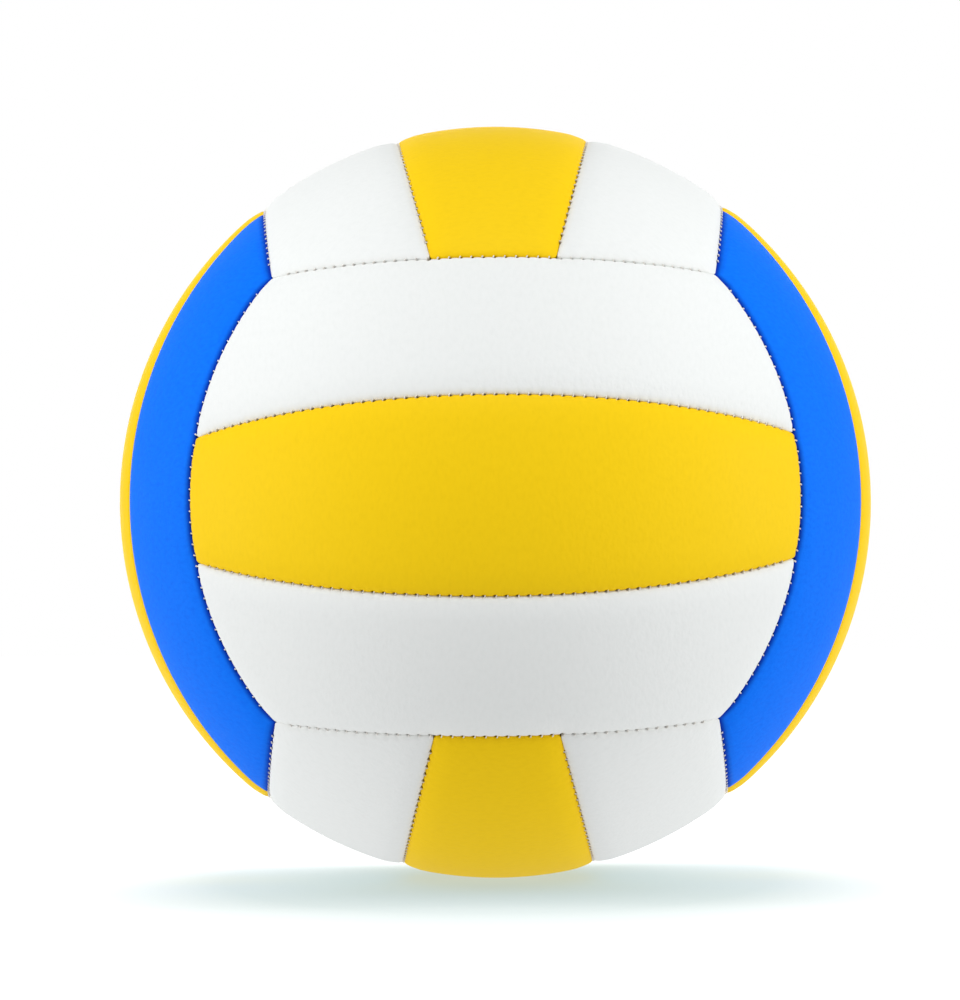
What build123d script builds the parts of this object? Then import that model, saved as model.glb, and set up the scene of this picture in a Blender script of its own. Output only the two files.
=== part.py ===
from build123d import *
import os
from math import acos, atan2, cos, degrees, hypot, pi, radians, sin, sqrt

# A sewn ball for indoor play: six faces of three strips each, round an inflated bladder.
# The origin is the centre of the ball. -Y faces the viewer, +X is to the right and +Z is up.
# Lengths are in millimetres and angles in degrees.

# Driving dimensions of the cover
ball_diameter = 210.0         # over the crowns of the panels
middle_panel_angle = 29.6     # spanned at the ball's centre by the width of a middle strip
face_angle = 75.6             # spanned at the ball's centre by the three strips of a face
skin_thickness = 0.8          # coated leather
foam_thickness = 2.6          # soft backing of each panel
glue_gap = 0.1                # glue line between two bonded layers
seam_gap = 0.4                # between the turned-in edges of two panels
edge_radius = 2.0             # roll of the leather into a seam

# Driving dimensions of the stitching
thread_diameter = 0.8         # a finished line of stitches, lying in the groove of its seam
thread_clearance = 0.08       # between the thread and the two edges that it draws together
thread_stop = 3.0             # bare seam between the last stitch and the crossing seam

# Driving dimensions of the bladder
bladder_clearance = 0.3       # between the backing and the inflated bladder
bladder_wall = 0.65

# Driving dimensions of the valve
valve_hole_diameter = 10.0    # through panel, backing, patch and bladder
valve_hole_clearance = 0.15   # round the nose of the valve
nose_recess = 0.6             # of the nose below the crown of its panel
flange_diameter = 26.0        # vulcanised to the inside of the bladder
flange_thickness = 1.2
boot_diameter = 11.0          # sleeve that closes round the plug under pressure
boot_length = 14.0
boot_round = 1.5              # rounding of the inner end of the sleeve
plug_diameter = 6.0
plug_length = 20.0
plug_clearance = 0.05         # round the plug and under its head
plug_head_diameter = 7.6
plug_head_thickness = 1.6
plug_tip_chamfer = 1.2
needle_bore_diameter = 2.2
needle_bore_depth = 15.0
needle_lead_in = 0.5          # countersink that guides the needle in
patch_diameter = 36.0         # cloth ring that reinforces the backing round the valve
patch_thickness = 0.5

# Layers, from the outside in
ball_radius = ball_diameter / 2
pocket_radius = ball_radius - skin_thickness
foam_radius = pocket_radius - glue_gap
cover_inside = foam_radius - foam_thickness
bladder_radius = cover_inside - bladder_clearance
bladder_inside = bladder_radius - bladder_wall
flange_radius = bladder_inside - glue_gap
cut_margin = foam_thickness   # by which a cutting block passes what it cuts

# Insets from the middle of a seam, and the rolls of the nested edges
panel_inset = seam_gap / 2
pocket_inset = panel_inset + skin_thickness
foam_inset = pocket_inset + glue_gap
pocket_roll = max(edge_radius - skin_thickness, glue_gap)
foam_roll = max(pocket_roll - glue_gap, glue_gap)

# Directions of the front face, on which the panel shapes are made
front = Vector(0, -1, 0)
right = Vector(1, 0, 0)
up = Vector(0, 0, 1)

# An inner seam lies in a plane through the centre of the ball. An outer seam is a circle of
# the sphere through its own middle and the two corners, where three faces meet.
half_middle = radians(middle_panel_angle / 2)
half_face = radians(face_angle / 2)
seam_middle = front * cos(half_face) + up * sin(half_face)
corner_foot = (front + up) * (1 / sqrt(3))
outer_axis = (seam_middle - corner_foot).cross(right).normalized()
outer_angle = acos(outer_axis.dot(seam_middle))
outer_rise = outer_axis.dot(up)
outer_lean = outer_axis.dot(front)
blank_angle = half_middle / 3     # by which a blank passes the seams that it is cut to
cut_angle = outer_angle / 2       # by which a cutter passes its seam


def end_axis(side):
    """Axis of the outer seam that closes the right (1) or left (-1) end of the front face."""
    return front * outer_rise + right * (side * outer_lean)


def inner_normal(side):
    """Normal of the inner seam above (1) or below (-1) the middle strip, away from the strip."""
    return up * (side * cos(half_middle)) - front * sin(half_middle)


def shell_sector(outer_radius, inner_radius, low, high):
    """Face between two radii and two angles, in the XZ plane, with the angles counted from +Z."""

    def at(radius, angle):
        return (radius * sin(angle), 0, radius * cos(angle))

    middle = (low + high) / 2
    outline = [
        ThreePointArc(at(inner_radius, low), at(inner_radius, middle), at(inner_radius, high)),
        Line(at(inner_radius, high), at(outer_radius, high)),
        ThreePointArc(at(outer_radius, high), at(outer_radius, middle), at(outer_radius, low)),
        Line(at(outer_radius, low), at(inner_radius, low)),
    ]
    return make_face(outline)


def seam_cutter(axis, facing, past, inset):
    """Block on one side of an outer seam, past it by an angle, with its wall moved over by inset.

    It runs half round the axis of the seam, with its middle where facing points.
    """
    low, high = sorted((outer_angle, outer_angle + past))
    sector = shell_sector(ball_radius + cut_margin, cover_inside - cut_margin, low, high)
    block = revolve(sector.rotate(Axis.Z, -90), Axis.Z, 180)
    apex = axis * (inset / sin(outer_angle))
    return Plane(apex, x_dir=facing - axis * facing.dot(axis), z_dir=axis) * block


def panel_block(strip, outer_radius, inner_radius, inset, roll):
    """Strip of the front face between two radii, inset from its seams and with a rolled rim."""
    half_run = pi / 2 - half_face + blank_angle
    sector = shell_sector(outer_radius, inner_radius, pi / 2 - half_run, pi / 2 + half_run)
    if strip == "middle":
        low, high = -half_middle - blank_angle, half_middle + blank_angle
    else:
        low, high = half_middle - blank_angle, pi / 4 + blank_angle
    sector = Plane((0, 0, 0), x_dir=front * cos(low) + up * sin(low), z_dir=right) * sector
    block = revolve(sector, Axis((0, 0, 0), -right), degrees(high - low))
    if strip == "middle":
        for side in (1, -1):
            wall = Plane(inner_normal(side) * -inset, z_dir=inner_normal(side))
            block = split(block, bisect_by=wall, keep=Keep.BOTTOM)
    else:
        wall = Plane(inner_normal(1) * inset, z_dir=inner_normal(1))
        block = split(block, bisect_by=wall, keep=Keep.TOP)
        block = block - seam_cutter(outer_axis, front, -cut_angle, -inset)
    for side in (1, -1):
        block = block - seam_cutter(end_axis(side), right * side, cut_angle, inset)
    middle_radius = (outer_radius + inner_radius) / 2
    rim = [edge for edge in block.edges() if min((edge @ 0).length, (edge @ 1).length) > middle_radius]
    return fillet(rim, roll)


def panel_skin(strip):
    """Leather of one panel, with its edges turned in to the depth of the backing."""
    outside = panel_block(strip, ball_radius, cover_inside, panel_inset, edge_radius)
    pocket = panel_block(strip, pocket_radius, cover_inside - cut_margin / 2, pocket_inset, pocket_roll)
    return outside - pocket


def panel_foam(strip):
    """Backing that fills the pocket of one panel."""
    return panel_block(strip, foam_radius, cover_inside, foam_inset, foam_roll)


# The thread lies against both rolled edges of its groove, apart from its clearance
thread_radius = thread_diameter / 2
edge_reach = edge_radius + thread_radius + thread_clearance
groove_reach = edge_radius + panel_inset
thread_line = ball_radius - edge_radius + sqrt(edge_reach ** 2 - groove_reach ** 2)
stop_cosine = cos(outer_angle - thread_stop / thread_line)


def thread_arc(axis, angle):
    """Line of stitches along the front face's seam at this angle round this axis."""
    centre = axis * (thread_line * cos(angle))
    ring = thread_line * sin(angle)
    ahead = (front - axis * front.dot(axis)).normalized()
    stop = end_axis(1)
    along = sin(angle) * ahead.dot(stop)
    across = sin(angle) * right.dot(stop)
    limit = stop_cosine - cos(angle) * axis.dot(stop)
    half_sweep = atan2(across, along) + acos(limit / hypot(along, across))
    start = ahead * cos(half_sweep) - right * sin(half_sweep)
    section = Plane(centre + start * ring, x_dir=start, z_dir=axis.cross(start)) * Circle(thread_radius)
    return revolve(section, Axis(centre, axis), degrees(2 * half_sweep))


def valve_cylinder(diameter, low, high):
    """Cylinder on the axis of the valve between two distances from the centre of the ball."""
    seat = Plane((0, low, 0), z_dir=(0, 1, 0))
    return seat * Cylinder(diameter / 2, high - low, align=(Align.CENTER, Align.CENTER, Align.MIN))


def valve_disc(diameter, low, high):
    """Disc on the axis of the valve, curved to the ball between two radii."""
    return (Sphere(high) - Sphere(low)) & valve_cylinder(diameter, 0, ball_radius + cut_margin)


# The valve stands at the middle of the back face, on the +Y axis
valve_hole = valve_cylinder(valve_hole_diameter, bladder_inside - cut_margin, ball_radius + cut_margin)
nose_diameter = valve_hole_diameter - 2 * valve_hole_clearance
nose_top = ball_radius - nose_recess
flange_middle = flange_radius - flange_thickness / 2
boot_end = flange_radius - flange_thickness - boot_length
plug_bore_diameter = plug_diameter + 2 * plug_clearance
head_seat_diameter = plug_head_diameter + 2 * plug_clearance
head_seat = nose_top - plug_head_thickness - plug_clearance
plug_tip = nose_top - plug_length


def valve_housing():
    """Flange inside the bladder, nose that fills the valve hole, and sleeve round the plug."""
    boot = valve_cylinder(boot_diameter, boot_end, flange_middle)
    boot = fillet(boot.edges().sort_by(Axis.Y)[0], boot_round)
    housing = valve_disc(flange_diameter, flange_radius - flange_thickness, flange_radius)
    housing = housing + boot + valve_cylinder(nose_diameter, flange_middle, nose_top)
    housing = housing - valve_cylinder(plug_bore_diameter, boot_end - cut_margin, nose_top + cut_margin)
    return housing - valve_cylinder(head_seat_diameter, head_seat, nose_top + cut_margin)


def valve_plug():
    """Soft plug with a head, a chamfered tip and a blind bore that guides the needle."""
    body = valve_cylinder(plug_diameter, plug_tip, nose_top)
    body = chamfer(body.edges().sort_by(Axis.Y)[0], plug_tip_chamfer)
    body = body + valve_cylinder(plug_head_diameter, nose_top - plug_head_thickness, nose_top)
    body = body - valve_cylinder(needle_bore_diameter, nose_top - needle_bore_depth, nose_top + cut_margin)
    mouth = body.edges().filter_by(GeomType.CIRCLE).group_by(Axis.Y)[-1].sort_by(SortBy.RADIUS)[0]
    return chamfer(mouth, needle_lead_in)


def patch_seat():
    """Recess in the backing that takes the reinforcing patch flush."""
    top = cover_inside + patch_thickness + glue_gap
    return valve_disc(patch_diameter + 2 * glue_gap, cover_inside - cut_margin / 2, top)


# Each face is placed by the run of its strips and the direction towards its first side strip
half_turn = Rot(0, 180, 0)
face_frames = {
    "front": Plane(x_dir=(1, 0, 0), origin=(0, 0, 0), z_dir=(0, 0, 1)),
    "back": Plane(x_dir=(-1, 0, 0), origin=(0, 0, 0), z_dir=(0, 0, 1)),
    "left": Plane(x_dir=(0, 0, 1), origin=(0, 0, 0), z_dir=(0, 1, 0)),
    "right": Plane(x_dir=(0, 0, -1), origin=(0, 0, 0), z_dir=(0, 1, 0)),
    "top": Plane(x_dir=(0, -1, 0), origin=(0, 0, 0), z_dir=(1, 0, 0)),
    "bottom": Plane(x_dir=(0, 1, 0), origin=(0, 0, 0), z_dir=(1, 0, 0)),
}
side_names = {
    "front": ("upper", "lower"),
    "back": ("upper", "lower"),
    "left": ("rear", "front"),
    "right": ("rear", "front"),
    "top": ("right", "left"),
    "bottom": ("right", "left"),
}

# Shapes of the front face, in the order first side strip, middle strip, second side strip
side_skin = panel_skin("side")
side_foam = panel_foam("side")
skins = [side_skin, panel_skin("middle"), half_turn * side_skin]
foams = [side_foam, panel_foam("middle"), half_turn * side_foam]
upper_threads = [thread_arc(inner_normal(1), pi / 2), thread_arc(outer_axis, outer_angle)]
threads = upper_threads + [half_turn * thread for thread in upper_threads]

# Nodes of the cover
nodes = {}
for face, frame in face_frames.items():
    strips = (side_names[face][0], "middle", side_names[face][1])
    for strip, skin, foam in zip(strips, skins, foams):
        nodes[f"panel_{face}_{strip}"] = frame * skin
        nodes[f"foam_{face}_{strip}"] = frame * foam
    lines = [solid for thread in threads for solid in (frame * thread).solids()]
    nodes[f"seam_thread_{face}"] = Compound(lines)

# Nodes of the bladder and the valve
nodes["panel_back_middle"] = nodes["panel_back_middle"] - valve_hole
nodes["foam_back_middle"] = nodes["foam_back_middle"] - valve_hole - patch_seat()
nodes["valve_patch"] = valve_disc(patch_diameter, cover_inside, cover_inside + patch_thickness) - valve_hole
nodes["bladder"] = Sphere(bladder_radius) - Sphere(bladder_inside) - valve_hole
nodes["valve_housing"] = valve_housing()
nodes["valve_plug"] = valve_plug()

os.makedirs("parts", exist_ok=True)
for name, node in nodes.items():
    export_step(node, f"parts/{name}.step")
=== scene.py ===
import math

import bmesh
import bpy
import numpy as np
from mathutils import Matrix


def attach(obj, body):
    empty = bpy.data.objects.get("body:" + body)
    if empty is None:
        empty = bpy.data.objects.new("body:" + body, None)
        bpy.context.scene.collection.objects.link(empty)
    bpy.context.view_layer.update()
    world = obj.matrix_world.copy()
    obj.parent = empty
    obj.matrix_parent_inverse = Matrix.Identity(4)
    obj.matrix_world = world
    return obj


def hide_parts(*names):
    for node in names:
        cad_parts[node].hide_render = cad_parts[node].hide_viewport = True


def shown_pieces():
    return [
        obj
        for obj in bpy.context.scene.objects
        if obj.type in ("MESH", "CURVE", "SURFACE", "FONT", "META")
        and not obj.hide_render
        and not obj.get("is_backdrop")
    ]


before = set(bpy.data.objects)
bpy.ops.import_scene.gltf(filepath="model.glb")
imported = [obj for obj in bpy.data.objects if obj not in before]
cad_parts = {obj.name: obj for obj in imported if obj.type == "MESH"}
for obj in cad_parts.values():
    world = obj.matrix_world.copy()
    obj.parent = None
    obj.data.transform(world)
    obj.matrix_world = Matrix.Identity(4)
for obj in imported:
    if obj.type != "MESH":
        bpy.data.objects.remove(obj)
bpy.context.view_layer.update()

MM = 0.001      # lengths below are in millimetres unless they say otherwise

# The ball. Its centre is the origin, -Y faces the viewer, +X is to the right and +Z is up.
RADIUS = 105.0                          # over the crowns of the panels
HALF_MIDDLE = math.radians(14.8)        # from the middle of a face to an inner seam
HALF_FACE = math.radians(37.8)          # from the middle of a face to the middle of an outer seam
SKIN = 0.8                              # leather
GLUE = 0.1                              # between leather, backing and patch
COVER_INSIDE = 101.5                    # inner radius of the backing
EDGE_INSET = 0.035                      # of a panel's wall from the middle of its seam

# Fall of a panel towards its seams
SHOULDER_DROP, SHOULDER_REACH = 0.7, 3.4    # gentle, under the pull of the stitches
ROLL_DROP, ROLL_REACH = 1.0, 1.8            # tight, where the leather turns in
DEEPEST = SHOULDER_DROP + ROLL_DROP
CORNER_RADIUS = 1.7                         # of a panel in plan
GROOVE_SHADE_REACH = 1.15                           # reach of the painted shade in a seam's groove, from the seam

# Stitches, by their place along and across the seam from the middle of the stitch
PITCH = 3.0
LAST_STITCH = 4.6                       # from the crossing seam
STITCH_PATH = (                         # along, across and depth below the crown
    (0.10, -0.45, 1.75),
    (0.08, -0.33, 1.34),
    (0.03, -0.12, 1.18),
    (-0.05, 0.12, 1.18),
    (-0.10, 0.33, 1.34),
    (-0.13, 0.45, 1.75),
)
THREAD_RADIUS = 0.2
THREAD_SIDES = 8
PLY_LOBE = 0.12                         # by which the two plies of the thread stand out
PLY_TURN = 1.1                          # radians of twist from one ring of the thread to the next
HOLE_ALONG, HOLE_ACROSS = 0.42, 0.1     # needle hole, from the middle of its stitch
HOLE_RADIUS, HOLE_DEPTH = 0.36, 0.5
PUCKER_ALONG, PUCKER_ACROSS = 0.8, 1.3  # reach of the dimple that a stitch draws
PUCKER_DEPTH = 0.15

# Meshes. The grid of a panel is fine along its rim and coarse inside.
RIM_LINES = (0.0, 0.1, 0.24, 0.42, 0.65, 0.95, 1.35, 1.9, 2.6)
FINE_STEP = 0.3
COARSE_STEPS = 8                        # fine steps in a coarse one
SETTLING_ROUNDS = 20                    # in which a side strip's grid settles between its curved seams
FLAT_SCALE = 0.01                       # flat coordinates count in units of 100 mm
MARKS = ("needle_hole", "seam_shade")    # what the points of the leather keep their closeness to; both set painted shade in its colour
LATHE_SIDES = 72
BLADDER_STEPS, PATCH_STEPS = 48, 10     # points of an arc of the bladder and of the patch

# Valve, on the +Y axis
VALVE_HOLE = 5.02                       # radius of the opening
# Reach and drop of the leather as it turns in round the valve
VALVE_LIP = ((6.9, 0.0), (6.3, 0.03), (5.8, 0.1), (5.4, 0.25), (5.15, 0.48), (VALVE_HOLE, 0.75))
VALVE_CELLS = 3                         # coarse cells from the axis to the edge of the valve's field
PATCH_RADIUS, PATCH_THICKNESS = 18.0, 0.5
BLADDER_OUTSIDE, BLADDER_INSIDE = 101.2, 100.55

FACES = {                               # run of the strips, and direction towards the first side strip
    "front": ((1, 0, 0), (0, 0, 1)),
    "back": ((-1, 0, 0), (0, 0, 1)),
    "left": ((0, 0, 1), (0, 1, 0)),
    "right": ((0, 0, -1), (0, 1, 0)),
    "top": ((0, -1, 0), (1, 0, 0)),
    "bottom": ((0, 1, 0), (1, 0, 0)),
}
SIDE_STRIPS = {                         # names of the first and second side strip
    "front": ("upper", "lower"),
    "back": ("upper", "lower"),
    "left": ("rear", "front"),
    "right": ("rear", "front"),
    "top": ("right", "left"),
    "bottom": ("right", "left"),
}
SIDE_COLOURS = {
    "front": "white", "back": "white", "left": "blue", "right": "blue", "top": "white", "bottom": "white",
}

# Seams of the front face
front, right, up = np.array([0.0, -1.0, 0.0]), np.array([1.0, 0.0, 0.0]), np.array([0.0, 0.0, 1.0])
half_turn = np.diag([-1.0, 1.0, -1.0])
seam_middle = front * math.cos(HALF_FACE) + up * math.sin(HALF_FACE)
outer_axis = np.cross(seam_middle - (front + up) / math.sqrt(3), right)
outer_axis /= np.linalg.norm(outer_axis)
OUTER_ANGLE = math.acos(outer_axis @ seam_middle)
OUTER_RISE, OUTER_LEAN = outer_axis @ up, outer_axis @ front
inner_axis = up * math.cos(HALF_MIDDLE) - front * math.sin(HALF_MIDDLE)
end_axis = front * OUTER_RISE + right * OUTER_LEAN


def face_place(face):
    """Rotation that takes the front face to this one."""
    run, side = (np.array(v, float) for v in FACES[face])
    return np.column_stack((run, np.cross(side, run), side))


class Seam:
    """Circle of the ball along which two panels meet, and its stitches."""

    def __init__(self, axis, angle, place):
        ahead = front - axis * (front @ axis)
        ahead /= np.linalg.norm(ahead)
        self.angle = angle
        self.scale = RADIUS * math.sin(angle)
        self.half_length = self.scale * self.sweep(axis, ahead, 0.0)
        stitched = self.scale * self.sweep(axis, ahead, LAST_STITCH)
        self.count = int(2 * stitched / PITCH) + 1
        self.first = -PITCH * (self.count - 1) / 2
        self.axis, self.ahead, self.side = place @ axis, place @ ahead, place @ right

    def sweep(self, axis, ahead, stop):
        """Angle from the middle of the seam to a stop before the seam that it runs into."""
        forward = math.sin(self.angle) * (ahead @ end_axis)
        sideways = math.sin(self.angle) * (right @ end_axis)
        limit = math.cos(OUTER_ANGLE - stop / RADIUS) - math.cos(self.angle) * (axis @ end_axis)
        return math.atan2(sideways, forward) + math.acos(limit / math.hypot(forward, sideways))

    def coordinates(self, directions):
        """Distances of directions along the seam, from its middle, and across it."""
        along = np.arctan2(directions @ self.side, directions @ self.ahead) * self.scale
        across = (np.arccos(np.clip(directions @ self.axis, -1, 1)) - self.angle) * RADIUS
        return along, across

    def distance(self, directions):
        """Distances of directions from the stretch of the seam between its ends."""
        along, across = self.coordinates(directions)
        return np.hypot(across, np.maximum(np.abs(along) - self.half_length, 0))

    def directions(self, along, across):
        """Directions at distances along and across the seam."""
        turn = np.asarray(along)[..., None] / self.scale
        tilt = self.angle + np.asarray(across)[..., None] / RADIUS
        ring = self.ahead * np.cos(turn) + self.side * np.sin(turn)
        return self.axis * np.cos(tilt) + ring * np.sin(tilt)

    def from_stitch(self, along):
        """Distances along the seam from the nearest stitch."""
        nearest = np.clip(np.round((along - self.first) / PITCH), 0, self.count - 1)
        return along - (self.first + nearest * PITCH)


def face_seams(face):
    """The four seams that are sewn with a face."""
    place = face_place(face)
    made = []
    for turned in (place, place @ half_turn):
        made.append(Seam(inner_axis, math.pi / 2, turned))
        made.append(Seam(outer_axis, OUTER_ANGLE, turned))
    return made


seams = {face: face_seams(face) for face in FACES}
all_seams = [seam for made in seams.values() for seam in made]


def bell(x, reach):
    """Smooth fall from 1 to 0 on both sides of 0."""
    return np.exp(-(x / reach) ** 2)


def seam_drop(directions):
    """Depth of the cover below its crown as it falls towards the seams."""
    kept = 1.0
    for seam in all_seams:
        distance = seam.distance(directions)
        lip = np.clip(1 - distance / ROLL_REACH, 0, 1)
        drop = SHOULDER_DROP * bell(distance, SHOULDER_REACH) + ROLL_DROP * (1 - np.sqrt(1 - lip ** 2))
        kept = kept * (1 - drop / DEEPEST)
    return DEEPEST * (1 - kept)


def seam_closeness(directions):
    """Closeness to a seam, from 0 to 1, which sets the painted shade along the seams."""
    close = 0.0
    for seam in all_seams:
        close = np.maximum(close, bell(seam.distance(directions), GROOVE_SHADE_REACH))
    return close


def needle_holes(directions):
    """Closeness to a needle hole, from 0 to 1."""
    close = 0.0
    for seam in all_seams:
        along, across = seam.coordinates(directions)
        offset = seam.from_stitch(along)
        close = close + bell(offset - HOLE_ALONG, HOLE_RADIUS) * bell(across - HOLE_ACROSS, HOLE_RADIUS)
    return np.minimum(close, 1)


def stitch_pucker(directions):
    """Depth by which the stitches draw the edges of the panels in."""
    depth = 0.0
    for seam in all_seams:
        along, across = seam.coordinates(directions)
        pull = bell(seam.from_stitch(along), PUCKER_ALONG) * bell(across, PUCKER_ACROSS)
        depth = depth + PUCKER_DEPTH * pull
    return depth


def end_longitude(latitude, inset):
    """Angle from the middle of the face to the seam at the end of a strip."""
    forward = OUTER_RISE * np.cos(latitude)
    limit = math.cos(OUTER_ANGLE - inset / RADIUS)
    return np.arctan2(OUTER_LEAN, forward) + np.arccos(limit / np.hypot(forward, OUTER_LEAN))


def top_latitude(longitude, inset):
    """Angle from the middle of the face to its outer seam."""
    limit = math.cos(OUTER_ANGLE + inset / RADIUS)
    return math.atan2(OUTER_RISE, OUTER_LEAN) - np.arccos(limit / np.cos(longitude))


def strip_size(strip):
    """Width and length of a strip."""
    across = 2 * HALF_MIDDLE if strip == "middle" else math.pi / 4 - HALF_MIDDLE
    along = 2 * end_longitude(0.0 if strip == "middle" else HALF_MIDDLE, 0.0)
    return RADIUS * across, RADIUS * along


def round_corners(share, part, width, length):
    """Shares across and along a strip, moved so that the rim of the grid turns round its corners."""
    upper, right_half = share > 0.5, part > 0.5
    across = np.where(upper, 1 - share, share) * width
    along = np.where(right_half, 1 - part, part) * length
    a = np.maximum(CORNER_RADIUS - across, 0)
    b = np.maximum(CORNER_RADIUS - along, 0)
    shrink = np.maximum(a, b) / np.maximum(np.hypot(a, b), 1e-9)
    near = (a > 0) & (b > 0)
    across = np.where(near, CORNER_RADIUS - a * shrink, across) / width
    along = np.where(near, CORNER_RADIUS - b * shrink, along) / length
    return np.where(upper, 1 - across, across), np.where(right_half, 1 - along, along)


def strip_grid(strip, rows, columns, inset):
    """Latitudes and longitudes of a grid over the upper or middle strip of the front face."""
    share, part = np.meshgrid(rows, columns, indexing="ij")
    share, part = round_corners(share, part, *strip_size(strip))
    run = 2 * part - 1
    low = -HALF_MIDDLE + inset / RADIUS
    high = HALF_MIDDLE - inset / RADIUS
    latitude = low + share * (high - low)
    longitude = run * end_longitude(latitude, inset)
    if strip == "side":
        low = HALF_MIDDLE + inset / RADIUS
        for _ in range(SETTLING_ROUNDS):
            latitude = low + share * (top_latitude(longitude, inset) - low)
            longitude = run * end_longitude(latitude, inset)
    return latitude, longitude


def grid_directions(latitude, longitude):
    """Directions from the centre of the ball at these angles of the front face."""
    across, along = latitude[..., None], longitude[..., None]
    return np.cos(along) * (front * np.cos(across) + up * np.sin(across)) + right * np.sin(along)


def graded_lines(width):
    """Places of grid lines over a width, as shares of it: close along both rims and even between."""
    rim = np.array(RIM_LINES)
    inner = width - 2 * rim[-1]
    pairs = max(1, round(inner / FINE_STEP / COARSE_STEPS / 2))
    even = np.linspace(rim[-1], width - rim[-1], 2 * pairs * COARSE_STEPS + 1)[1:-1]
    return np.concatenate((rim, even, width - rim[::-1])) / width


class Shell:
    """Closed mesh in the making: points in millimetres, flat coordinates, marks and faces."""

    def __init__(self):
        self.points, self.flat, self.marks, self.faces = [], [], [], []

    def add(self, points, flat, marks=None):
        """Adds points, with their closeness to the marks, and returns their numbers."""
        start = len(self.points)
        self.points.extend(np.reshape(points, (-1, 3)))
        self.flat.extend(np.reshape(flat, (-1, 2)))
        if marks is None:
            marks = np.zeros((len(self.points) - start, len(MARKS)))
        self.marks.extend(np.reshape(marks, (-1, len(MARKS))))
        return np.arange(start, len(self.points))

    def bridge(self, first, second):
        """Joins two loops of as many points by quads."""
        for k in range(len(first)):
            n = (k + 1) % len(first)
            self.faces.append((first[k], second[k], second[n], first[n]))

    def mesh(self, name):
        """Finished mesh, in metres."""
        made = bpy.data.meshes.new(name)
        made.from_pydata(np.array(self.points) * MM, [], [tuple(map(int, face)) for face in self.faces])
        layer = made.uv_layers.new(name="flat")
        corners = np.empty(len(made.loops), np.int32)
        made.loops.foreach_get("vertex_index", corners)
        layer.data.foreach_set("uv", np.array(self.flat, np.float32)[corners].ravel())
        for mark, values in zip(MARKS, np.array(self.marks, np.float32).T):
            made.attributes.new(mark, "FLOAT", "POINT").data.foreach_set("value", values.copy())
        made.shade_smooth()
        return made


def grid_lines(count, band):
    """Numbers of the coarse lines of a graded grid, out to its fine band."""
    rim = len(RIM_LINES)
    lines = list(range(rim - 1, count - rim + 1, COARSE_STEPS))
    if band == 1:
        lines = [0] + lines + [count - 1]
    return lines


def add_sheet(shell, points, flat, marks, band, outward, opening):
    """Adds a graded grid with a fine band round it. Returns the loops of its rim and of its opening."""
    rows, columns = points.shape[:2]
    row_lines, column_lines = grid_lines(rows, band), grid_lines(columns, band)
    keep = np.zeros((rows, columns), bool)
    keep[:band] = keep[-band:] = True
    keep[:, :band] = keep[:, -band:] = True
    keep[np.ix_(row_lines, column_lines)] = True
    number = np.full((rows, columns), -1)
    number[keep] = shell.add(points[keep], flat[keep], None if marks is None else marks[keep])
    made = []
    for i in range(rows - 1):
        for j in range(columns - 1):
            if min(i, j, rows - 2 - i, columns - 2 - j) < band - 1:
                made.append((number[i, j], number[i, j + 1], number[i + 1, j + 1], number[i + 1, j]))
    middle_row, middle_column = len(row_lines) // 2, len(column_lines) // 2
    for a, (low, high) in enumerate(zip(row_lines, row_lines[1:])):
        for b, (start, end) in enumerate(zip(column_lines, column_lines[1:])):
            inside = max(abs(a + 0.5 - middle_row), abs(b + 0.5 - middle_column)) < VALVE_CELLS
            if opening and inside:
                continue
            made.append(cell_loop(number, low, high, start, end))
    shell.faces.extend(made if outward else [face[::-1] for face in made])
    field = None
    if opening:
        low, high = (row_lines[middle_row + k] for k in (-VALVE_CELLS, VALVE_CELLS))
        start, end = (column_lines[middle_column + k] for k in (-VALVE_CELLS, VALVE_CELLS))
        field = cell_loop(number, low, high, start, end)
    return cell_loop(number, 0, rows - 1, 0, columns - 1), field


def cell_loop(number, low, high, start, end):
    """Numbers of the points that are kept round a cell, anticlockwise from outside."""
    loop = np.concatenate((
        number[low, start:end],
        number[low:high, end],
        number[high, end:start:-1],
        number[high:low:-1, start],
    ))
    return tuple(loop[loop >= 0])


def add_opening(shell, outer_field, inner_field, inner_radius, crown):
    """Turns the leather or backing in round the valve, from its outer sheet to its inner one."""
    corners = np.array([shell.points[n] for n in outer_field])
    around = np.arctan2(corners[:, 2], corners[:, 0])

    def ring(reach, radius):
        depth = np.full(len(around), -math.sqrt(radius ** 2 - reach ** 2))
        points = np.column_stack((reach * np.cos(around), depth, reach * np.sin(around)))
        return shell.add(points, points[:, [0, 2]] * FLAT_SCALE)

    rings = [ring(reach, crown - drop) for reach, drop in VALVE_LIP]
    rings.append(ring(VALVE_HOLE, inner_radius))
    loops = [outer_field, *rings, inner_field]
    for outer, inner in zip(loops, loops[1:]):
        shell.bridge(inner, outer)


def flat_coordinates(latitude, longitude):
    """Distances along and across a strip."""
    return np.stack((longitude, latitude * np.cos(longitude)), axis=-1) * RADIUS * FLAT_SCALE


def strip_lines(strip):
    """Rows and columns of a strip's grid."""
    width, length = strip_size(strip)
    return graded_lines(width), graded_lines(length)


def turn_in(shell, loop):
    """Adds the foot of a turned-in edge under a loop of points, at the inside of the cover."""
    foot = np.array([shell.points[n] for n in loop])
    foot *= COVER_INSIDE / np.linalg.norm(foot, axis=1)[:, None]
    return shell.add(foot, [shell.flat[n] for n in loop])


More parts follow.
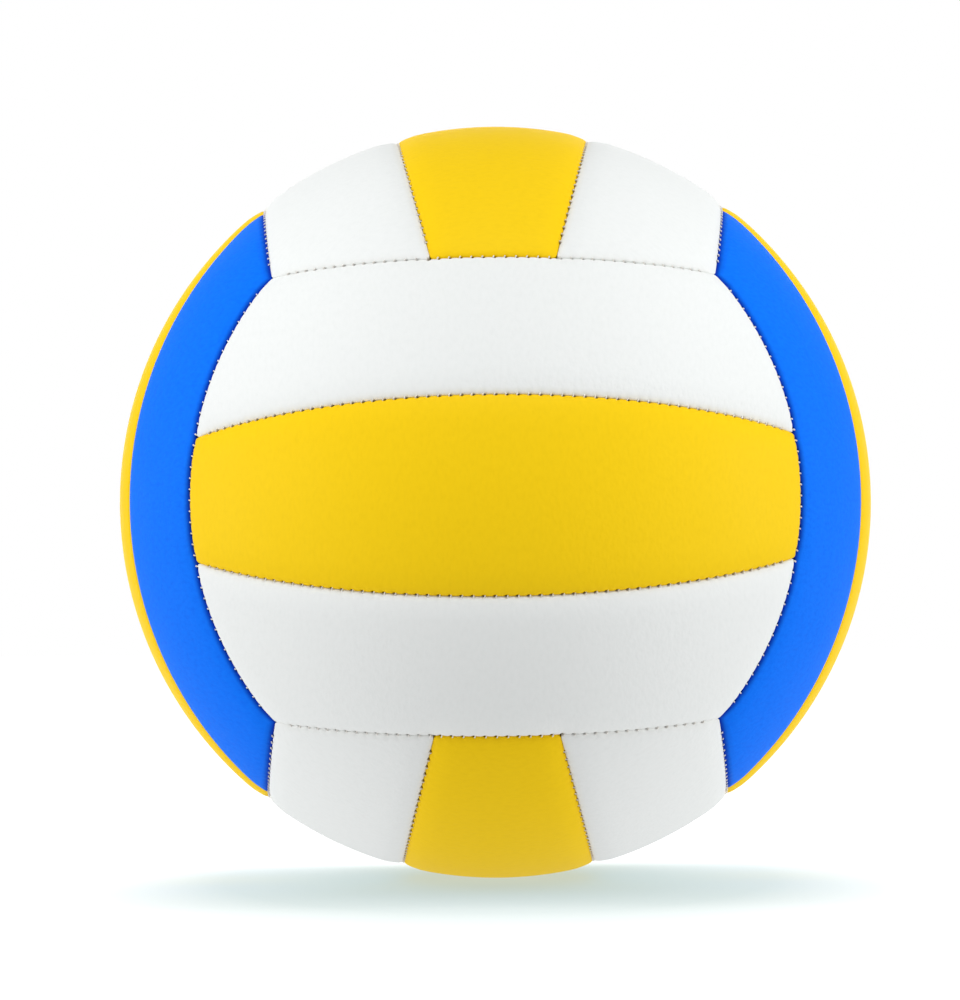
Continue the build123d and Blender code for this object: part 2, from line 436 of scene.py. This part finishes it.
def leather_shell(strip, opening=False):
    """Leather of a strip of the front face: outside, turned-in edge and the pocket for the backing."""
    shell = Shell()
    lines = strip_lines(strip)
    grid = strip_grid(strip, *lines, EDGE_INSET)
    directions, flat = grid_directions(*grid), flat_coordinates(*grid)
    holes = needle_holes(directions)
    radius = RADIUS - seam_drop(directions) - stitch_pucker(directions) - HOLE_DEPTH * holes
    marks = np.stack((holes, seam_closeness(directions)), axis=-1)
    outside = directions * radius[..., None]
    rim, field = add_sheet(shell, outside, flat, marks, len(RIM_LINES), True, opening)
    wall = turn_in(shell, rim)
    grid = strip_grid(strip, *lines, EDGE_INSET + SKIN)
    directions, flat = grid_directions(*grid), flat_coordinates(*grid)
    radius = RADIUS - seam_drop(directions) - SKIN
    inside = directions * radius[..., None]
    pocket, pocket_field = add_sheet(shell, inside, flat, None, 1, False, opening)
    turned = turn_in(shell, pocket)
    for first, second in ((rim, wall), (wall, turned), (turned, pocket)):
        shell.bridge(first, second)
    if opening:
        add_opening(shell, field, pocket_field, RADIUS - SKIN, RADIUS)
    return shell


def backing_shell(strip, opening=False):
    """Soft backing that fills the pocket of a panel, with a seat for the patch round the valve."""
    shell = Shell()
    grid = strip_grid(strip, *strip_lines(strip), EDGE_INSET + SKIN + GLUE)
    directions, flat = grid_directions(*grid), flat_coordinates(*grid)
    crown = RADIUS - SKIN - GLUE
    top = crown - seam_drop(directions)
    bottom = np.full(top.shape, COVER_INSIDE)
    if opening:
        reach = np.hypot(directions[..., 0], directions[..., 2]) * COVER_INSIDE
        bottom[reach < PATCH_RADIUS + COARSE_STEPS * FINE_STEP] += PATCH_THICKNESS + GLUE
    rim, field = add_sheet(shell, directions * top[..., None], flat, None, 1, True, opening)
    base, base_field = add_sheet(shell, directions * bottom[..., None], flat, None, 1, False, opening)
    shell.bridge(rim, base)
    if opening:
        add_opening(shell, field, base_field, COVER_INSIDE + PATCH_THICKNESS + GLUE, crown)
    return shell


def unit(vectors):
    """Vectors scaled to a length of 1."""
    return vectors / np.linalg.norm(vectors, axis=1)[:, None]


def add_stitch(shell, seam, station):
    """Adds one stitch, a short piece of two-ply thread, at a distance along its seam."""
    path = np.array(STITCH_PATH)
    corner = np.arange(THREAD_SIDES) * 2 * math.pi / THREAD_SIDES
    out = seam.directions(station + path[:, 0], path[:, 1])
    line = out * (RADIUS - path[:, 2])[:, None]
    ahead = unit(np.gradient(line, axis=0))
    side = unit(np.cross(ahead, out))
    rise = np.cross(side, ahead)
    rings = []
    for n, centre in enumerate(line):
        reach = THREAD_RADIUS * (1 + PLY_LOBE * np.cos(2 * corner + n * PLY_TURN))[:, None]
        turn = side[n] * np.cos(corner)[:, None] + rise[n] * np.sin(corner)[:, None]
        flat = np.column_stack((corner / (2 * math.pi), np.full(THREAD_SIDES, n)))
        rings.append(shell.add(centre + reach * turn, flat))
    for first, second in zip(rings, rings[1:]):
        shell.bridge(second, first)
    shell.faces.append(tuple(rings[0][::-1]))
    shell.faces.append(tuple(rings[-1]))


def stitch_shell(face):
    """Stitches of the seams that are sewn with a face."""
    shell = Shell()
    for seam in seams[face]:
        for k in range(seam.count):
            add_stitch(shell, seam, seam.first + k * PITCH)
    return shell


def lathe_shell(profile):
    """Closed shape turned about +Y from (reach, height) points. A reach of 0 is a pole."""
    shell = Shell()
    corner = np.arange(LATHE_SIDES) * 2 * math.pi / LATHE_SIDES
    loops = []
    for reach, height in profile:
        sides = corner if reach > 0 else corner[:1]
        level = np.full(len(sides), height)
        points = np.column_stack((reach * np.cos(sides), level, reach * np.sin(sides)))
        loops.append(shell.add(points, points[:, [0, 2]] * FLAT_SCALE))
    closing = [] if profile[0][0] == 0 else [(loops[-1], loops[0])]
    for first, second in [*zip(loops, loops[1:]), *closing]:
        if len(first) == len(second):
            shell.bridge(first, second)
            continue
        pole, loop = sorted((first, second), key=len)
        for k in range(LATHE_SIDES):
            shell.faces.append((pole[0], loop[k], loop[(k + 1) % LATHE_SIDES]))
    return shell


def arc_profile(radius, start, end, count):
    """Points of an arc about the centre of the ball, by the angle from +Y."""
    angles = np.linspace(start, end, count)
    points = [(radius * math.sin(a), radius * math.cos(a)) for a in angles]
    return [(0.0 if reach < 1e-6 else reach, height) for reach, height in points]


def bladder_shell():
    """Hollow bladder with a hole for the valve."""
    outer_edge = math.asin(VALVE_HOLE / BLADDER_OUTSIDE)
    inner_edge = math.asin(VALVE_HOLE / BLADDER_INSIDE)
    outside = arc_profile(BLADDER_OUTSIDE, math.pi, outer_edge, BLADDER_STEPS)
    inside = arc_profile(BLADDER_INSIDE, inner_edge, math.pi, BLADDER_STEPS)
    return lathe_shell(outside + inside)


def patch_shell():
    """Cloth ring between the bladder and the backing, round the valve."""
    low, high = COVER_INSIDE, COVER_INSIDE + PATCH_THICKNESS
    outside = arc_profile(high, math.asin(VALVE_HOLE / high), math.asin(PATCH_RADIUS / high), PATCH_STEPS)
    inside = arc_profile(low, math.asin(PATCH_RADIUS / low), math.asin(VALVE_HOLE / low), PATCH_STEPS)
    return lathe_shell(outside + inside)


def face_outward(mesh):
    """Turns the faces of a closed mesh outwards."""
    work = bmesh.new()
    work.from_mesh(mesh)
    bmesh.ops.recalc_face_normals(work, faces=work.faces)
    work.to_mesh(mesh)
    work.free()


def place_piece(name, mesh, material, nodes, body="ball"):
    """Puts a finished mesh into the scene in place of its CAD solids."""
    piece = bpy.data.objects.new(name, mesh)
    bpy.context.scene.collection.objects.link(piece)
    mesh.materials.append(material)
    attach(piece, body)
    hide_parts(*nodes)
    return piece


class Look:
    """Material in the making: a principled shader with textures on the flat coordinates."""

    def __init__(self, name, coordinates="UV"):
        self.material = bpy.data.materials.new(name)
        self.material.use_nodes = True
        self.nodes, self.links = self.material.node_tree.nodes, self.material.node_tree.links
        self.shader = self.nodes["Principled BSDF"]
        self.place = self.nodes.new("ShaderNodeTexCoord").outputs[coordinates]

    def add(self, kind, inputs=(), **settings):
        """Adds a node, with sockets set to values or linked to other sockets."""
        node = self.nodes.new(kind)
        for name, value in settings.items():
            setattr(node, name, value)
        for socket, value in dict(inputs).items():
            if isinstance(value, bpy.types.NodeSocket):
                self.links.new(value, node.inputs[socket])
            else:
                node.inputs[socket].default_value = value
        return node

    def noise(self, scale, detail, stretch=(1, 1, 1)):
        """Noise texture, with its cells stretched along the flat coordinates."""
        place = self.add("ShaderNodeMapping", {"Vector": self.place, "Scale": stretch}).outputs["Vector"]
        inputs = {"Vector": place, "Scale": scale, "Detail": detail}
        return self.add("ShaderNodeTexNoise", inputs).outputs["Fac"]

    def ramp(self, source, stops):
        """Colours along a texture's value."""
        node = self.add("ShaderNodeValToRGB", {"Fac": source})
        elements = node.color_ramp.elements
        for element, (position, colour) in zip(elements, stops):
            element.position = position
            element.color = (*colour, 1.0)
        for position, colour in stops[2:]:
            elements.new(position).color = (*colour, 1.0)
        return node.outputs["Color"]

    def multiply(self, first, second):
        """Product of two colours."""
        node = self.add("ShaderNodeMix", {"Factor": 1.0}, data_type="RGBA", blend_type="MULTIPLY")
        sockets = [socket for socket in node.inputs if socket.type == "RGBA"]
        for socket, colour in zip(sockets, (first, second)):
            self.links.new(colour, socket)
        return [socket for socket in node.outputs if socket.type == "RGBA"][0]

    def range(self, source, low, high):
        """Texture's value mapped to a range."""
        node = self.add("ShaderNodeMapRange", {"Value": source, "To Min": low, "To Max": high})
        return node.outputs["Result"]

    def bump(self, source, depth, strength, under=None):
        """Relief of this depth in metres, on top of another one."""
        inputs = {"Height": source, "Distance": depth, "Strength": strength}
        if under is not None:
            inputs["Normal"] = under
        return self.add("ShaderNodeBump", inputs).outputs["Normal"]

    def set(self, **sockets):
        """Sets or links sockets of the shader, by their names with underscores for spaces."""
        for name, value in sockets.items():
            socket = self.shader.inputs[name.replace("_", " ")]
            if isinstance(value, bpy.types.NodeSocket):
                self.links.new(value, socket)
            else:
                socket.default_value = value


# Grain of the leather: scales count on the flat coordinates, and depths are in metres
CELL_SCALE, CELL_DEPTH = 105.0, 0.0001
WRINKLE_SCALE, WRINKLE_DEPTH = 55.0, 0.00025
WRINKLE_STRETCH = (1.7, 0.8, 1)
CLOUD_SCALE = 5.0
LEATHER_ROUGHNESS = (0.62, 0.70)
UNCHANGED = (1, 1, 1)                   # share of a colour away from the painted shade of seam grooves and needle holes

# Thread, cloth, foam and rubber, with depths in metres
CLOTH_DEPTH, CLOTH_SHEEN = 0.0002, 0.2
CLOTH_SMOOTHER, CLOTH_ROUGHER = 0.08, 0.05      # by which the roughness varies
BLOOM_SCALE, TOOTH_SCALE, TOOTH_DEPTH = 60.0, 1800.0, 0.00008
RUBBER_ROUGHNESS, RUBBER_SHEEN = (0.5, 0.68), 0.4


def leather_look(name, dark, plain, light, groove_shade, hole_shade, sheen):
    """Coated leather: fine cells, faint wrinkles, uneven sheen, and painted shade in the seam grooves and
    needle holes.
    """
    look = Look(name)
    cell_inputs = {"Vector": look.place, "Scale": CELL_SCALE}
    cells = look.add("ShaderNodeTexVoronoi", cell_inputs).outputs["Distance"]
    wrinkles = look.noise(WRINKLE_SCALE, detail=4.0, stretch=WRINKLE_STRETCH)
    cloud = look.noise(CLOUD_SCALE, detail=2.0)
    colour = look.ramp(wrinkles, ((0.25, dark), (0.75, light), (0.5, plain)))
    # Painted shade: the colour darkens in the needle holes and in the grooves along the seams, where light
    # doesn't reach.
    hole_shade_stops = ((0.15, UNCHANGED), (0.65, hole_shade))
    groove_shade_stops = ((0.0, UNCHANGED), (1.0, groove_shade))
    for mark, stops in zip(MARKS, (hole_shade_stops, groove_shade_stops)):
        closeness = look.add("ShaderNodeAttribute", attribute_name=mark).outputs["Fac"]
        colour = look.multiply(colour, look.ramp(closeness, stops))
    relief = look.bump(wrinkles, WRINKLE_DEPTH, strength=0.3)
    relief = look.bump(cells, CELL_DEPTH, strength=0.25, under=relief)
    look.set(
        Base_Color=colour,
        Roughness=look.range(cloud, *LEATHER_ROUGHNESS),
        Specular_IOR_Level=sheen,
        Normal=relief,
    )
    return look.material


def cloth_look(name, dark, light, scale, roughness):
    """Thread, cloth or foam: a fine mat texture with an uneven tint."""
    look = Look(name, "Object")
    fine = look.noise(scale, detail=4.0)
    look.set(
        Base_Color=look.ramp(fine, ((0.3, dark), (0.7, light))),
        Roughness=look.range(fine, roughness - CLOTH_SMOOTHER, roughness + CLOTH_ROUGHER),
        Specular_IOR_Level=CLOTH_SHEEN,
        Normal=look.bump(fine, CLOTH_DEPTH, strength=0.4),
    )
    return look.material


def rubber_look(name, dark, light):
    """Moulded rubber: near even, with a faint bloom and a fine tooth."""
    look = Look(name, "Object")
    bloom = look.noise(BLOOM_SCALE, detail=5.0)
    tooth = look.noise(TOOTH_SCALE, detail=2.0)
    look.set(
        Base_Color=look.ramp(bloom, ((0.3, dark), (0.75, light))),
        Roughness=look.range(bloom, *RUBBER_ROUGHNESS),
        Specular_IOR_Level=RUBBER_SHEEN,
        Normal=look.bump(tooth, TOOTH_DEPTH, strength=0.35),
    )
    return look.material


# Leathers: dark, plain and light shades, share of them left under the painted shade of a seam's groove and
# of a needle hole, and sheen
LEATHERS = {
    "white": (
        (0.85, 0.872, 0.864), (0.868, 0.89, 0.882), (0.88, 0.90, 0.893),
        (1.0, 0.99, 0.98), (0.58, 0.56, 0.55), 0.025,
    ),
    "yellow": (
        (0.93, 0.612, 0.0015), (0.955, 0.632, 0.002), (0.97, 0.645, 0.0025),
        (0.95, 0.92, 0.85), (0.16, 0.08, 0.05), 0.14,
    ),
    "blue": (
        (0.002, 0.155, 0.93), (0.0025, 0.177, 0.97), (0.003, 0.192, 0.99),
        (0.1, 0.17, 0.42), (0.08, 0.06, 0.10), 0.055,
    ),
}
leather = {colour: leather_look(f"{colour}_leather", *shades) for colour, shades in LEATHERS.items()}
thread_look = cloth_look("stitch_thread", (0.66, 0.62, 0.57), (0.90, 0.88, 0.84), 9000.0, 0.8)
foam_look = cloth_look("foam_backing", (0.52, 0.50, 0.44), (0.72, 0.70, 0.63), 1500.0, 0.9)
patch_look = cloth_look("patch_cloth", (0.50, 0.48, 0.42), (0.75, 0.72, 0.65), 2500.0, 0.9)
bladder_look = rubber_look("bladder_butyl", (0.012, 0.012, 0.013), (0.03, 0.03, 0.032))
valve_look = rubber_look("valve_rubber", (0.014, 0.014, 0.015), (0.035, 0.035, 0.037))
plug_look = rubber_look("plug_rubber", (0.02, 0.02, 0.022), (0.05, 0.05, 0.053))


def turned_mesh(shell_mesh, name, rotation, shift):
    """Copy of a mesh of the front face, turned to its place and with its own stretch of texture."""
    mesh = shell_mesh.copy()
    mesh.name = name
    mesh.transform(Matrix(rotation.tolist()).to_4x4())
    layer = mesh.uv_layers[0]
    flat = np.empty(2 * len(layer.data), np.float32)
    layer.data.foreach_get("uv", flat)
    layer.data.foreach_set("uv", (flat.reshape(-1, 2) + shift).astype(np.float32).ravel())
    return mesh


TEXTURE_SHIFT = np.array((0.37, 0.61))      # of the flat coordinates from one panel to the next


def build_cover():
    """Leather, backing and stitches of the six faces."""
    leathers = {strip: leather_shell(strip).mesh(f"leather_{strip}") for strip in ("side", "middle")}
    backings = {strip: backing_shell(strip).mesh(f"backing_{strip}") for strip in ("side", "middle")}
    leathers["valve"] = leather_shell("middle", opening=True).mesh("leather_valve")
    backings["valve"] = backing_shell("middle", opening=True).mesh("backing_valve")
    count = 0
    for face in FACES:
        place = face_place(face)
        first, second = SIDE_STRIPS[face]
        middle = "valve" if face == "back" else "middle"
        strips = ((first, "side", place), ("middle", middle, place), (second, "side", place @ half_turn))
        for strip, kind, rotation in strips:
            shift = TEXTURE_SHIFT * count
            count += 1
            colour = SIDE_COLOURS[face] if kind == "side" else "yellow"
            mesh = turned_mesh(leathers[kind], f"leather_{face}_{strip}", rotation, shift)
            place_piece(mesh.name, mesh, leather[colour], [f"panel_{face}_{strip}"])
            mesh = turned_mesh(backings[kind], f"backing_{face}_{strip}", rotation, shift)
            pad = place_piece(mesh.name, mesh, foam_look, [f"foam_{face}_{strip}"])
        mesh = stitch_shell(face).mesh(f"stitches_{face}")
        place_piece(mesh.name, mesh, thread_look, [f"seam_thread_{face}"])
    for mesh in [*leathers.values(), *backings.values()]:
        bpy.data.meshes.remove(mesh)


def build_inside():
    """Bladder, patch and valve."""
    for name, shell, look, slot, node in (
        ("bladder_rubber", bladder_shell(), bladder_look, "bladder_rubber", "bladder"),
        ("patch_ring", patch_shell(), patch_look, "patch_cloth", "valve_patch"),
    ):
        mesh = shell.mesh(name)
        face_outward(mesh)
        place_piece(name, mesh, look, [node])
    for node, look, slot in (
        ("valve_housing", valve_look, "valve_rubber"),
        ("valve_plug", plug_look, "plug_rubber"),
    ):
        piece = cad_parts[node]
        piece.data.materials.clear()
        piece.data.materials.append(look)


# Camera, in metres and pixels of the picture
PICTURE_HEIGHT = 1000.0
CAMERA_DISTANCE = 1.47
FOCAL_PIXELS = 5244.0
SENSOR = 36.0
BALL_OFFSET = (15.4, 2.2)       # of the ball from the middle of the picture, right and down
BALL_PITCH, BALL_YAW, BALL_ROLL = (math.radians(a) for a in (-1.05, 0.0, -0.47))


def build_camera():
    """Long lens that looks at the ball as it lies in the picture."""
    turn = Matrix.Rotation(BALL_ROLL, 3, "Y") @ Matrix.Rotation(BALL_PITCH, 3, "X")
    turn = turn @ Matrix.Rotation(BALL_YAW, 3, "Z")
    upright = Matrix.Rotation(math.pi / 2, 3, "X")
    data = bpy.data.cameras.new("camera")
    data.sensor_width = SENSOR
    data.lens = FOCAL_PIXELS / PICTURE_HEIGHT * SENSOR
    data.shift_x = -BALL_OFFSET[0] / PICTURE_HEIGHT
    data.shift_y = BALL_OFFSET[1] / PICTURE_HEIGHT
    camera = bpy.data.objects.new("camera", data)
    bpy.context.scene.collection.objects.link(camera)
    pose = (turn.transposed() @ upright).to_4x4()
    pose.translation = turn.transposed() @ Matrix.Identity(3).col[1] * -CAMERA_DISTANCE
    camera.matrix_world = pose
    bpy.context.scene.camera = camera


# Lamps, in metres and watts: place, width, height, power and what they light.
# A lamp for the ball faces it, and the lamp for the floor faces straight down.
LAMPS = {
    "left_box": ((-1.6, -0.25, -0.1), 1.0, 1.0, 23.5, "ball"),
    "right_box": ((1.6, -0.25, -0.1), 1.0, 1.0, 23.5, "ball"),
    "front_box": ((0.0, -0.85, 1.55), 1.6, 1.0, 21.5, "ball"),
    "rear_box": ((0.0, 1.9, 0.25), 1.6, 1.2, 12.0, "ball"),
    "floor_box": ((0.0, 0.19, 0.40), 2.73, 0.38, 33.5, "floor"),
}
ROOM_STRENGTH = 0.2


def seen_rays(nodes, links):
    """1 for what is seen straight, in a reflection or through a clear thing, and 0 for light on its way."""
    path = nodes.new("ShaderNodeLightPath")
    seen = path.outputs["Is Camera Ray"]
    for kind in ("Is Glossy Ray", "Is Transmission Ray"):
        either = nodes.new("ShaderNodeMath")
        either.operation = "MAXIMUM"
        links.new(seen, either.inputs[0])
        links.new(path.outputs[kind], either.inputs[1])
        seen = either.outputs[0]
    return seen


def build_light(floor):
    """Soft boxes in a dim even room that is white to the eye."""
    lit = {"ball": bpy.data.collections.new("lit_ball"), "floor": bpy.data.collections.new("lit_floor")}
    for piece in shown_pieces():
        lit["ball"].objects.link(piece)
    lit["floor"].objects.link(floor)
    for name, (place, width, height, power, target) in LAMPS.items():
        data = bpy.data.lights.new(name, "AREA")
        data.shape = "RECTANGLE"
        data.size, data.size_y, data.energy = width, height, power
        lamp = bpy.data.objects.new(name, data)
        bpy.context.scene.collection.objects.link(lamp)
        lamp.location = place
        if target == "ball":
            lamp.rotation_mode = "QUATERNION"
            lamp.rotation_quaternion = (-lamp.location).to_track_quat("-Z", "Y")
        lamp.visible_camera = False
        lamp.light_linking.receiver_collection = lit[target]
    world = bpy.data.worlds.new("room")
    bpy.context.scene.world = world
    world.use_nodes = True
    nodes, links = world.node_tree.nodes, world.node_tree.links
    room = nodes["Background"]
    room.inputs["Color"].default_value = (1, 1, 1, 1)
    room.inputs["Strength"].default_value = ROOM_STRENGTH
    seen = nodes.new("ShaderNodeBackground")
    seen.inputs["Color"].default_value = (1, 1, 1, 1)
    seen.inputs["Strength"].default_value = 1.0
    choice = nodes.new("ShaderNodeMixShader")
    links.new(seen_rays(nodes, links), choice.inputs[0])
    links.new(room.outputs[0], choice.inputs[1])
    links.new(seen.outputs[0], choice.inputs[2])
    links.new(choice.outputs[0], nodes["World Output"].inputs["Surface"])


# Floor, in metres
FLOOR_HALF = 6.0
FLOOR_LIT = 0.80                        # brightness of the lit floor, as the ball sees it
FLOOR_NEAR = (0.41, 0.52, 0.51)         # glow near the ball, where its shadow falls
FLOOR_FADE = (0.19, 0.42, 1.0)          # distances along X, Y and Z at which it has grown to white
FLOOR_EVEN = 0.4                        # share of those distances over which it doesn't grow
FLOOR_MAT = (0.26, 0.245, 0.245, 1)     # what the floor throws back of the light of its lamp


def build_floor():
    """Pale lit floor that takes the shadow of the ball and fades to white."""
    data = bpy.data.meshes.new("floor")
    h = FLOOR_HALF
    data.from_pydata([(-h, -h, 0), (h, -h, 0), (h, h, 0), (-h, h, 0)], [], [(0, 1, 2, 3)])
    floor = bpy.data.objects.new("floor", data)
    bpy.context.scene.collection.objects.link(floor)
    floor.location.z = -RADIUS * MM
    look = Look("pale_floor", "Object")
    nodes, links = look.nodes, look.links
    nodes.remove(look.shader)
    mat = look.add("ShaderNodeBsdfDiffuse", {"Color": FLOOR_MAT})
    scale = [1 / distance for distance in FLOOR_FADE]
    near = look.add("ShaderNodeMapping", {"Vector": look.place, "Scale": scale})
    reach = look.add("ShaderNodeTexGradient", {"Vector": near.outputs[0]}, gradient_type="SPHERICAL")
    fade = look.ramp(reach.outputs["Fac"], ((0.0, (1, 1, 1)), (1 - FLOOR_EVEN, FLOOR_NEAR)))
    glow = look.add("ShaderNodeEmission", {"Color": fade})
    both = nodes.new("ShaderNodeAddShader")
    links.new(mat.outputs[0], both.inputs[0])
    links.new(glow.outputs[0], both.inputs[1])
    lit = look.add("ShaderNodeEmission", {"Strength": FLOOR_LIT})
    choice = nodes.new("ShaderNodeMixShader")
    links.new(seen_rays(nodes, links), choice.inputs[0])
    links.new(lit.outputs[0], choice.inputs[1])
    links.new(both.outputs[0], choice.inputs[2])
    links.new(choice.outputs[0], nodes["Material Output"].inputs["Surface"])
    data.materials.append(look.material)
    floor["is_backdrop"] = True
    return floor


build_cover()
build_inside()
build_camera()
build_light(build_floor())
bpy.context.scene.view_settings.view_transform = "Standard"
